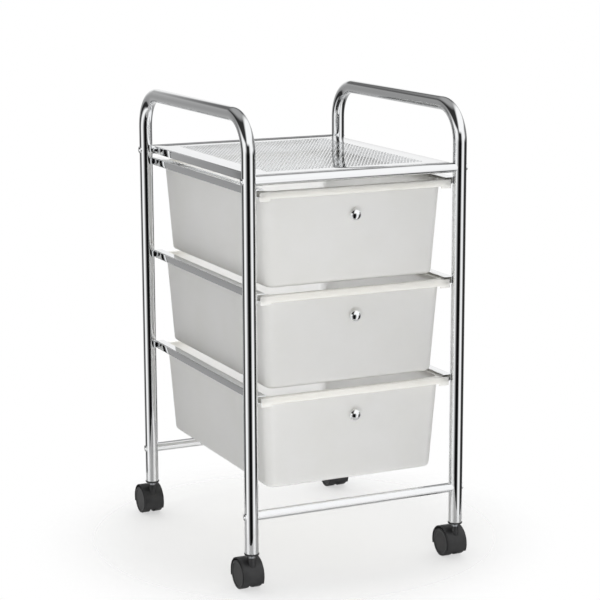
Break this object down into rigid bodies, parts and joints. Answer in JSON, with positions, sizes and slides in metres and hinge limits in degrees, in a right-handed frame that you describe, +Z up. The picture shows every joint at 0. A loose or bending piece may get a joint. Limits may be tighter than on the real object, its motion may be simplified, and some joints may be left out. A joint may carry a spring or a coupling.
{
  "type": "rolling bathroom cart",
  "caption": "Rolling bathroom cart: chromed tube side frames with handles, a perforated top shelf, frosted plastic drawers hung in channel rails and black swivel casters.",
  "frame": {"origin": "on the floor, under the middle of the cart's bounding box", "axes": "+Z up, -Y out of the drawer fronts, +X to the right of someone who faces them"},
  "size_m": [0.3446, 0.423, 0.65],
  "materials": {
    "chrome": "bright chrome plate",
    "steel": "zinc plated",
    "frosted_plastic": "frosted, slightly translucent",
    "black_nylon": "matte moulded"
  },
  "bodies": {
    "frame": {"left_side_frame": "chrome", "right_side_frame": "chrome", "top_front_bar": "chrome", "top_back_bar": "chrome", "bottom_front_bar": "chrome", "bottom_back_bar": "chrome", "frame_screws": "chrome", "top_shelf": "chrome", "bar_inserts": "steel", "left_upper_rail": "chrome", "right_upper_rail": "chrome", "left_middle_rail": "chrome", "right_middle_rail": "chrome", "left_lower_rail": "chrome", "right_lower_rail": "chrome", "front_left_caster_socket": "black_nylon", "front_right_caster_socket": "black_nylon", "back_left_caster_socket": "black_nylon", "back_right_caster_socket": "black_nylon"},
    "upper_drawer": {"upper_drawer_tray": "frosted_plastic", "upper_drawer_knob": "chrome", "upper_knob_screw": "steel"},
    "middle_drawer": {"middle_drawer_tray": "frosted_plastic", "middle_drawer_knob": "chrome", "middle_knob_screw": "steel"},
    "lower_drawer": {"lower_drawer_tray": "frosted_plastic", "lower_drawer_knob": "chrome", "lower_knob_screw": "steel"},
    "front_left_caster": {"front_left_caster_hood": "black_nylon", "front_left_caster_stem": "steel", "front_left_caster_axle": "steel"},
    "front_left_caster_wheel_left": {"front_left_caster_wheel_left": "black_nylon"},
    "front_left_caster_wheel_right": {"front_left_caster_wheel_right": "black_nylon"},
    "front_right_caster": {"front_right_caster_hood": "black_nylon", "front_right_caster_stem": "steel", "front_right_caster_axle": "steel"},
    "front_right_caster_wheel_left": {"front_right_caster_wheel_left": "black_nylon"},
    "front_right_caster_wheel_right": {"front_right_caster_wheel_right": "black_nylon"},
    "back_left_caster": {"back_left_caster_hood": "black_nylon", "back_left_caster_stem": "steel", "back_left_caster_axle": "steel"},
    "back_left_caster_wheel_left": {"back_left_caster_wheel_left": "black_nylon"},
    "back_left_caster_wheel_right": {"back_left_caster_wheel_right": "black_nylon"},
    "back_right_caster": {"back_right_caster_hood": "black_nylon", "back_right_caster_stem": "steel", "back_right_caster_axle": "steel"},
    "back_right_caster_wheel_left": {"back_right_caster_wheel_left": "black_nylon"},
    "back_right_caster_wheel_right": {"back_right_caster_wheel_right": "black_nylon"}
  },
  "joints": [
    {"name": "upper_drawer_slide", "type": "slide", "parent": "frame", "child": "upper_drawer", "axis": [0, -1, 0], "range_m": [0, 0.24]},
    {"name": "middle_drawer_slide", "type": "slide", "parent": "frame", "child": "middle_drawer", "axis": [0, -1, 0], "range_m": [0, 0.24]},
    {"name": "lower_drawer_slide", "type": "slide", "parent": "frame", "child": "lower_drawer", "axis": [0, -1, 0], "range_m": [0, 0.24]},
    {"name": "front_left_caster_swivel", "type": "hinge", "parent": "frame", "child": "front_left_caster", "pos_m": [-0.157, -0.20128, 0.06], "axis": [0, 0, 1], "continuous": true},
    {"name": "front_left_left_wheel_spin", "type": "hinge", "parent": "front_left_caster", "child": "front_left_caster_wheel_left", "pos_m": [-0.157, -0.18627, 0.02], "axis": [1, 0, 0], "continuous": true},
    {"name": "front_left_right_wheel_spin", "type": "hinge", "parent": "front_left_caster", "child": "front_left_caster_wheel_right", "pos_m": [-0.157, -0.18627, 0.02], "axis": [1, 0, 0], "continuous": true},
    {"name": "front_right_caster_swivel", "type": "hinge", "parent": "frame", "child": "front_right_caster", "pos_m": [0.157, -0.20128, 0.06], "axis": [0, 0, 1], "continuous": true},
    {"name": "front_right_left_wheel_spin", "type": "hinge", "parent": "front_right_caster", "child": "front_right_caster_wheel_left", "pos_m": [0.157, -0.18627, 0.02], "axis": [1, 0, 0], "continuous": true},
    {"name": "front_right_right_wheel_spin", "type": "hinge", "parent": "front_right_caster", "child": "front_right_caster_wheel_right", "pos_m": [0.157, -0.18627, 0.02], "axis": [1, 0, 0], "continuous": true},
    {"name": "back_left_caster_swivel", "type": "hinge", "parent": "frame", "child": "back_left_caster", "pos_m": [-0.157, 0.17272, 0.06], "axis": [0, 0, 1], "continuous": true},
    {"name": "back_left_left_wheel_spin", "type": "hinge", "parent": "back_left_caster", "child": "back_left_caster_wheel_left", "pos_m": [-0.157, 0.18773, 0.02], "axis": [1, 0, 0], "continuous": true},
    {"name": "back_left_right_wheel_spin", "type": "hinge", "parent": "back_left_caster", "child": "back_left_caster_wheel_right", "pos_m": [-0.157, 0.18773, 0.02], "axis": [1, 0, 0], "continuous": true},
    {"name": "back_right_caster_swivel", "type": "hinge", "parent": "frame", "child": "back_right_caster", "pos_m": [0.157, 0.17272, 0.06], "axis": [0, 0, 1], "continuous": true},
    {"name": "back_right_left_wheel_spin", "type": "hinge", "parent": "back_right_caster", "child": "back_right_caster_wheel_left", "pos_m": [0.157, 0.18773, 0.02], "axis": [1, 0, 0], "continuous": true},
    {"name": "back_right_right_wheel_spin", "type": "hinge", "parent": "back_right_caster", "child": "back_right_caster_wheel_right", "pos_m": [0.157, 0.18773, 0.02], "axis": [1, 0, 0], "continuous": true}
  ]
}
